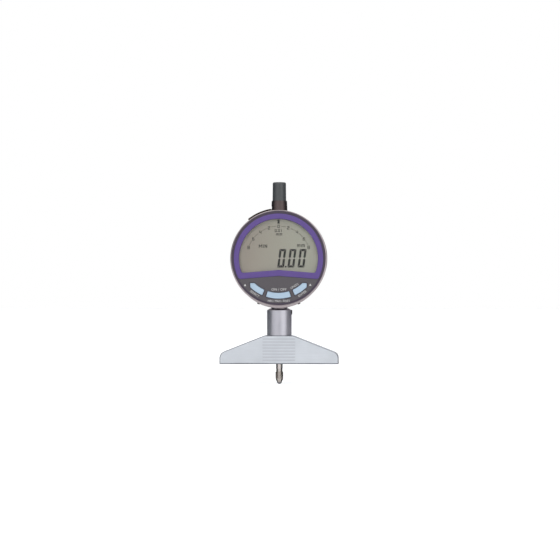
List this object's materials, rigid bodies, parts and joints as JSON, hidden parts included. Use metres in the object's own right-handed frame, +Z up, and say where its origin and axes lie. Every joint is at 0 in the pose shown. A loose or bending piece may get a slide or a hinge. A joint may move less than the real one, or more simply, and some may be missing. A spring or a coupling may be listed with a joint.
{
  "type": "digital depth gauge",
  "caption": "Round digital indicator with a spring-loaded spindle, keys and lifting lever, held in the sleeve of a wide flat measuring base.",
  "frame": {"origin": "on the spindle's axis at the base's flat underside", "axes": "+Z up along the spindle, the display faces -Y, +X to the reader's right"},
  "size_m": [0.075, 0.0245, 0.1279],
  "materials": {
    "base_steel": "ground and satin nickel plated",
    "sleeve_steel": "turned and polished",
    "spindle_steel": "centreless ground and hardened",
    "screw_steel": "zinc plated",
    "dark_screw": "blackened",
    "spring_steel": "drawn wire",
    "carbide": "lapped",
    "case_metal": "die cast, fine satin paint",
    "back_metal": "pressed and satin painted",
    "rail_metal": "stamped",
    "bronze": "turned",
    "lever_metal": "blackened spring steel",
    "collar_metal": "black anodised",
    "cap_plastic": "moulded",
    "cover_plastic": "fine texture",
    "bezel_plastic": "semi-gloss",
    "fascia_print": "printed film",
    "key_plastic": "semi-gloss",
    "clear_window": "polished",
    "display_grey": "smooth",
    "holder_plastic": "moulded",
    "rubber_black": "moulded",
    "rubber_grey": "moulded",
    "board_green": "solder mask",
    "scale_glass": "etched",
    "carrier_brass": "milled",
    "battery_steel": "nickel plated"
  },
  "bodies": {
    "gauge": {"depth_base": "base_steel", "base_sleeve": "sleeve_steel", "clamp_screw": "dark_screw", "stem": "spindle_steel", "lower_bushing": "bronze", "upper_bushing": "bronze", "stop_washer": "rubber_black", "case_body": "case_metal", "back_cover": "back_metal", "back_cover_screws": "screw_steel", "battery": "battery_steel", "battery_contact": "spring_steel", "battery_lid": "cap_plastic", "front_cover": "cover_plastic", "rim_screws": "dark_screw", "display_bezel": "bezel_plastic", "display_window": "clear_window", "fascia_sheet": "fascia_print", "key_mat": "rubber_grey", "lcd_panel": "display_grey", "lcd_holder": "holder_plastic", "lcd_connector": "rubber_black", "circuit_board": "board_green", "board_screws": "screw_steel", "read_head": "board_green", "guide_rail": "rail_metal", "rail_screws": "screw_steel", "return_spring": "spring_steel", "top_collar": "collar_metal", "dust_cap": "cap_plastic", "lever_pin": "spindle_steel"},
    "spindle_unit": {"spindle": "spindle_steel", "lifting_ring": "spindle_steel", "contact_point": "spindle_steel", "contact_ball": "carbide", "scale_carrier": "carrier_brass", "carrier_screw": "screw_steel", "linear_scale": "scale_glass", "guide_pin": "spindle_steel"},
    "lever": {"lifting_lever": "lever_metal"},
    "key_left": {"button_left": "key_plastic"},
    "key_center": {"button_center": "key_plastic"},
    "key_right": {"button_right": "key_plastic"}
  },
  "joints": [
    {"name": "spindle_slide", "type": "slide", "parent": "gauge", "child": "spindle_unit", "axis": [0, 0, 1], "range_m": [0, 0.0133], "stiffness_N_per_m": 40, "springref_m": -0.02, "deforming": ["return_spring"]},
    {"name": "lever_press", "type": "hinge", "parent": "gauge", "child": "lever", "pos_m": [-0.01006, 0, 0.09423], "axis": [0, -1, 0], "range_deg": [0, 11], "stiffness_Nm_per_rad": 0.002, "springref_deg": -5.73},
    {"name": "press_left", "type": "slide", "parent": "gauge", "child": "key_left", "axis": [0, 1, 0], "range_m": [0, 0.0005], "stiffness_N_per_m": 1000, "springref_m": -0.0005},
    {"name": "press_center", "type": "slide", "parent": "gauge", "child": "key_center", "axis": [0, 1, 0], "range_m": [0, 0.0005], "stiffness_N_per_m": 1000, "springref_m": -0.0005},
    {"name": "press_right", "type": "slide", "parent": "gauge", "child": "key_right", "axis": [0, 1, 0], "range_m": [0, 0.0005], "stiffness_N_per_m": 1000, "springref_m": -0.0005}
  ]
}
